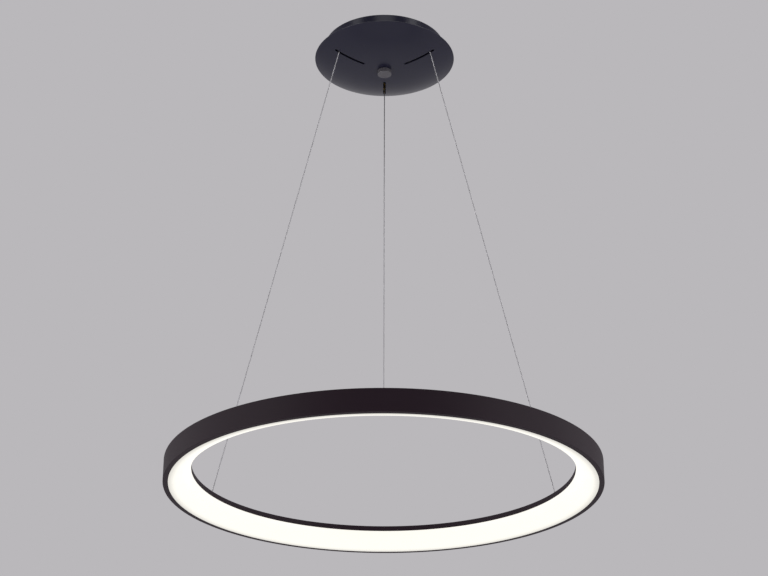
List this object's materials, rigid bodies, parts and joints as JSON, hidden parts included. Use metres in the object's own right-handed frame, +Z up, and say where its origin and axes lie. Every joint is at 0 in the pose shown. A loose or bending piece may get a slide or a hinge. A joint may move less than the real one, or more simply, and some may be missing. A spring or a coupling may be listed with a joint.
{
  "type": "ring pendant ceiling light",
  "caption": "Round LED ring pendant: a black ring with an opal curved diffuser on thin steel wires from a round canopy that holds the driver.",
  "frame": {"origin": "centre of the mounting plate's ceiling face, in the plane of the ceiling", "axes": "+Z up into the ceiling; -Y towards the viewer of the picture, +X to the viewer's right; wire 3's slot in the canopy lies along +Y and the lamp is the same left and right of the YZ plane in its outer form"},
  "size_m": [0.5999, 0.6, 0.711],
  "materials": {
    "canopy_paint": "satin powder coat",
    "ring_paint": "fine matt powder coat",
    "knob_paint": "satin",
    "plate_steel": "zinc plated",
    "zinc_steel": "zinc plated",
    "wire_steel": "stranded, bright",
    "brass": "turned",
    "opal": "opal, lit from behind",
    "led": "phosphor",
    "board": "white solder mask",
    "component": "moulded",
    "driver_plastic": "moulded",
    "terminal_plastic": "moulded",
    "grommet_rubber": "matt",
    "lead_brown": "insulated lead",
    "lead_blue": "insulated lead",
    "lead_sleeve": "insulated lead"
  },
  "bodies": {
    "canopy": {"mounting_plate": "plate_steel", "canopy_cup": "canopy_paint", "canopy_cover": "canopy_paint", "center_stud": "zinc_steel", "stud_nut": "zinc_steel", "driver_case": "driver_plastic", "driver_lid": "driver_plastic", "driver_board": "board", "driver_parts": "component", "driver_screws": "zinc_steel", "terminal_block": "terminal_plastic", "terminal_screws": "zinc_steel", "terminal_fixings": "zinc_steel", "earth_washer": "brass", "earth_screw": "brass", "cable_grommet": "grommet_rubber", "lead_live": "lead_brown", "lead_neutral": "lead_blue", "lead_output_1": "lead_sleeve", "lead_output_2": "lead_sleeve", "gripper_body_1": "brass", "suspension_wire_1": "wire_steel", "gripper_body_2": "brass", "suspension_wire_2": "wire_steel", "gripper_body_3": "brass", "suspension_wire_3": "wire_steel"},
    "knob": {"canopy_knob": "knob_paint"},
    "release_1": {"release_sleeve_1": "brass"},
    "release_2": {"release_sleeve_2": "brass"},
    "release_3": {"release_sleeve_3": "brass"},
    "ring": {"ring_housing": "ring_paint", "diffuser": "opal", "led_strip": "board", "led_chips": "led", "strip_leads": "lead_sleeve", "anchor_bush_1": "ring_paint", "anchor_bush_2": "ring_paint", "anchor_bush_3": "ring_paint", "anchor_nut_1": "zinc_steel", "anchor_nut_2": "zinc_steel", "anchor_nut_3": "zinc_steel", "wire_ferrule_1": "zinc_steel", "wire_ferrule_2": "zinc_steel", "wire_ferrule_3": "zinc_steel"}
  },
  "joints": [
    {"name": "knob_turn", "type": "hinge", "parent": "canopy", "child": "knob", "pos_m": [0, 0, -0.044], "axis": [0, 0, 1], "continuous": true},
    {"name": "release_1_push", "type": "slide", "parent": "canopy", "child": "release_1", "axis": [0, 0, 1], "range_m": [0, 0.002], "stiffness_N_per_m": 800},
    {"name": "release_2_push", "type": "slide", "parent": "canopy", "child": "release_2", "axis": [0, 0, 1], "range_m": [0, 0.002], "stiffness_N_per_m": 800},
    {"name": "release_3_push", "type": "slide", "parent": "canopy", "child": "release_3", "axis": [0, 0, 1], "range_m": [0, 0.002], "stiffness_N_per_m": 800},
    {"name": "height_adjust", "type": "slide", "parent": "canopy", "child": "ring", "axis": [0, 0, 1], "range_m": [0, 0.3], "deforming": ["suspension_wire_1", "suspension_wire_2", "suspension_wire_3"]}
  ]
}
